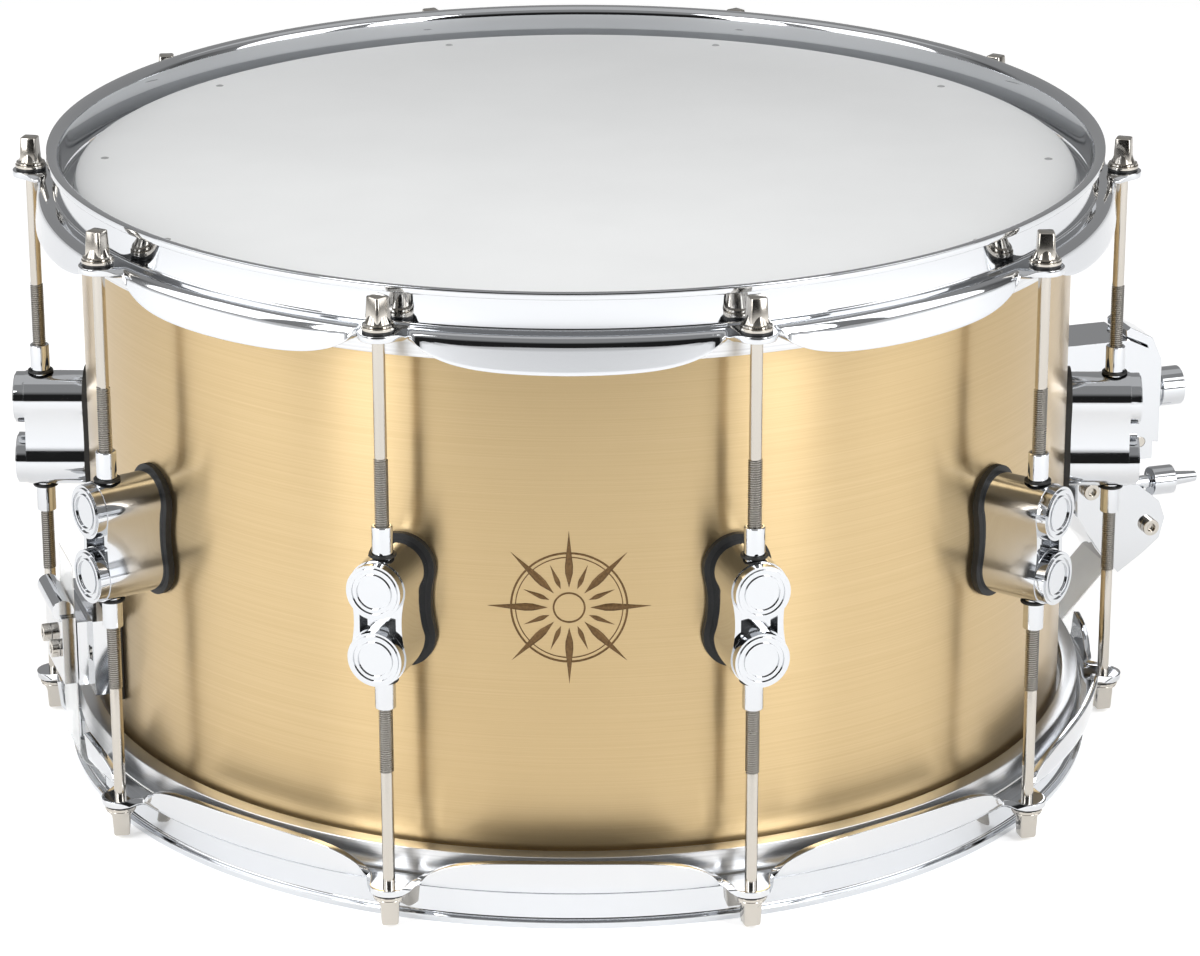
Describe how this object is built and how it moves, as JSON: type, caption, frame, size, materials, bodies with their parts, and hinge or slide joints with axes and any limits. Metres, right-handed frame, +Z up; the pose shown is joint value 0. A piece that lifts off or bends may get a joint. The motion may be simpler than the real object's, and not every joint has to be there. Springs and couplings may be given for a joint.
{
  "type": "snare drum",
  "caption": "Snare drum with a bronze shell, flanged steel hoops, tension rods, swivel lugs, snare wires, butt plate and a lever strainer.",
  "frame": {"origin": "where the drum's axis meets the plane of the snare-side hoop's rim, on which the drum rests", "axes": "+Z up along the drum's axis to the batter head, -Y towards the front between the two front lugs, +X to the drum's right, near the strainer"},
  "size_m": [0.4411, 0.3944, 0.2225],
  "materials": {
    "bronze_shell": "brushed bell bronze, satin",
    "chrome_hoop": "polished chrome plate on steel",
    "chrome_casting": "polished chrome plate on zinc",
    "plated_steel": "bright nickel plate",
    "coated_film": "white sprayed coating on polyester film",
    "clear_film": "clear polyester film",
    "flesh_aluminium": "mill finish",
    "black_rubber": "matt moulded rubber",
    "black_nylon": "moulded nylon",
    "clear_strap": "clear polyester strip",
    "snare_steel": "bright spring wire"
  },
  "bodies": {
    "drum": {"shell": "bronze_shell", "vent_grommet": "chrome_casting", "case_screws": "plated_steel", "batter_film": "coated_film", "batter_flesh_hoop": "flesh_aluminium", "snare_side_film": "clear_film", "snare_side_flesh_hoop": "flesh_aluminium", "batter_hoop": "chrome_hoop", "snare_side_hoop": "chrome_hoop", "rod_steel_washers": "plated_steel", "rod_black_washers": "black_nylon", "swivel_nuts": "chrome_casting", "nut_o_rings": "black_rubber", "lug_gaskets": "black_rubber", "strainer_gasket": "black_rubber", "strainer_housing": "chrome_casting", "lever_pivot_pin": "plated_steel", "butt_gasket": "black_rubber", "butt_body": "chrome_casting", "butt_clamp": "chrome_casting", "butt_screws": "plated_steel", "lug_01": "chrome_casting", "lug_02": "chrome_casting", "lug_03": "chrome_casting", "lug_04": "chrome_casting", "lug_05": "chrome_casting", "lug_06": "chrome_casting", "lug_07": "chrome_casting", "lug_08": "chrome_casting", "lug_09": "chrome_casting", "lug_10": "chrome_casting"},
    "lever": {"strainer_lever": "chrome_casting"},
    "carriage": {"strainer_carriage": "chrome_casting", "carriage_clamp": "chrome_casting", "carriage_screws": "plated_steel", "strainer_strap": "clear_strap"},
    "knob": {"tension_knob": "chrome_casting"},
    "snares": {"snare_wires": "snare_steel", "snare_end_plates": "snare_steel", "butt_strap": "clear_strap"},
    "batter_rod_01": {"batter_rod_01": "plated_steel"},
    "batter_rod_02": {"batter_rod_02": "plated_steel"},
    "batter_rod_03": {"batter_rod_03": "plated_steel"},
    "batter_rod_04": {"batter_rod_04": "plated_steel"},
    "batter_rod_05": {"batter_rod_05": "plated_steel"},
    "batter_rod_06": {"batter_rod_06": "plated_steel"},
    "batter_rod_07": {"batter_rod_07": "plated_steel"},
    "batter_rod_08": {"batter_rod_08": "plated_steel"},
    "batter_rod_09": {"batter_rod_09": "plated_steel"},
    "batter_rod_10": {"batter_rod_10": "plated_steel"},
    "snare_side_rod_01": {"snare_side_rod_01": "plated_steel"},
    "snare_side_rod_02": {"snare_side_rod_02": "plated_steel"},
    "snare_side_rod_03": {"snare_side_rod_03": "plated_steel"},
    "snare_side_rod_04": {"snare_side_rod_04": "plated_steel"},
    "snare_side_rod_05": {"snare_side_rod_05": "plated_steel"},
    "snare_side_rod_06": {"snare_side_rod_06": "plated_steel"},
    "snare_side_rod_07": {"snare_side_rod_07": "plated_steel"},
    "snare_side_rod_08": {"snare_side_rod_08": "plated_steel"},
    "snare_side_rod_09": {"snare_side_rod_09": "plated_steel"},
    "snare_side_rod_10": {"snare_side_rod_10": "plated_steel"}
  },
  "joints": [
    {"name": "lever_swing", "type": "hinge", "parent": "drum", "child": "lever", "pos_m": [0.20828, 0.06767, 0.086], "axis": [-0.309, 0.9511, 0], "range_deg": [0, 70]},
    {"name": "carriage_drop", "type": "slide", "parent": "drum", "child": "carriage", "axis": [0, 0, -1], "range_m": [0, 0.007], "deforming": ["strainer_strap"]},
    {"name": "snare_lag", "type": "slide", "parent": "carriage", "child": "snares", "axis": [0, 0, 1], "range_m": [0, 0.0045]},
    {"name": "knob_turn", "type": "hinge", "parent": "carriage", "child": "knob", "pos_m": [0.21874, 0.07107, 0.065], "axis": [0.9511, 0.309, 0], "continuous": true},
    {"name": "batter_rod_01_turn", "type": "hinge", "parent": "drum", "child": "batter_rod_01", "pos_m": [0.06026, -0.18546, 0.16], "axis": [0, 0, 1], "continuous": true},
    {"name": "batter_rod_02_turn", "type": "hinge", "parent": "drum", "child": "batter_rod_02", "pos_m": [0.15776, -0.11462, 0.16], "axis": [0, 0, 1], "continuous": true},
    {"name": "batter_rod_03_turn", "type": "hinge", "parent": "drum", "child": "batter_rod_03", "pos_m": [0.195, 0, 0.16], "axis": [0, 0, 1], "continuous": true},
    {"name": "batter_rod_04_turn", "type": "hinge", "parent": "drum", "child": "batter_rod_04", "pos_m": [0.15776, 0.11462, 0.16], "axis": [0, 0, 1], "continuous": true},
    {"name": "batter_rod_05_turn", "type": "hinge", "parent": "drum", "child": "batter_rod_05", "pos_m": [0.06026, 0.18546, 0.16], "axis": [0, 0, 1], "continuous": true},
    {"name": "batter_rod_06_turn", "type": "hinge", "parent": "drum", "child": "batter_rod_06", "pos_m": [-0.06026, 0.18546, 0.16], "axis": [0, 0, 1], "continuous": true},
    {"name": "batter_rod_07_turn", "type": "hinge", "parent": "drum", "child": "batter_rod_07", "pos_m": [-0.15776, 0.11462, 0.16], "axis": [0, 0, 1], "continuous": true},
    {"name": "batter_rod_08_turn", "type": "hinge", "parent": "drum", "child": "batter_rod_08", "pos_m": [-0.195, 0, 0.16], "axis": [0, 0, 1], "continuous": true},
    {"name": "batter_rod_09_turn", "type": "hinge", "parent": "drum", "child": "batter_rod_09", "pos_m": [-0.15776, -0.11462, 0.16], "axis": [0, 0, 1], "continuous": true},
    {"name": "batter_rod_10_turn", "type": "hinge", "parent": "drum", "child": "batter_rod_10", "pos_m": [-0.06026, -0.18546, 0.16], "axis": [0, 0, 1], "continuous": true},
    {"name": "snare_side_rod_01_turn", "type": "hinge", "parent": "drum", "child": "snare_side_rod_01", "pos_m": [0.06026, -0.18546, 0.0625], "axis": [0, 0, 1], "continuous": true},
    {"name": "snare_side_rod_02_turn", "type": "hinge", "parent": "drum", "child": "snare_side_rod_02", "pos_m": [0.15776, -0.11462, 0.0625], "axis": [0, 0, 1], "continuous": true},
    {"name": "snare_side_rod_03_turn", "type": "hinge", "parent": "drum", "child": "snare_side_rod_03", "pos_m": [0.195, 0, 0.0625], "axis": [0, 0, 1], "continuous": true},
    {"name": "snare_side_rod_04_turn", "type": "hinge", "parent": "drum", "child": "snare_side_rod_04", "pos_m": [0.15776, 0.11462, 0.0625], "axis": [0, 0, 1], "continuous": true},
    {"name": "snare_side_rod_05_turn", "type": "hinge", "parent": "drum", "child": "snare_side_rod_05", "pos_m": [0.06026, 0.18546, 0.0625], "axis": [0, 0, 1], "continuous": true},
    {"name": "snare_side_rod_06_turn", "type": "hinge", "parent": "drum", "child": "snare_side_rod_06", "pos_m": [-0.06026, 0.18546, 0.0625], "axis": [0, 0, 1], "continuous": true},
    {"name": "snare_side_rod_07_turn", "type": "hinge", "parent": "drum", "child": "snare_side_rod_07", "pos_m": [-0.15776, 0.11462, 0.0625], "axis": [0, 0, 1], "continuous": true},
    {"name": "snare_side_rod_08_turn", "type": "hinge", "parent": "drum", "child": "snare_side_rod_08", "pos_m": [-0.195, 0, 0.0625], "axis": [0, 0, 1], "continuous": true},
    {"name": "snare_side_rod_09_turn", "type": "hinge", "parent": "drum", "child": "snare_side_rod_09", "pos_m": [-0.15776, -0.11462, 0.0625], "axis": [0, 0, 1], "continuous": true},
    {"name": "snare_side_rod_10_turn", "type": "hinge", "parent": "drum", "child": "snare_side_rod_10", "pos_m": [-0.06026, -0.18546, 0.0625], "axis": [0, 0, 1], "continuous": true}
  ],
  "couplings": [
    {"joint": "lever_swing", "follows": "carriage_drop", "rad_per_m": 174.52},
    {"joint": "snare_lag", "follows": "carriage_drop", "ratio": 0.64279}
  ]
}
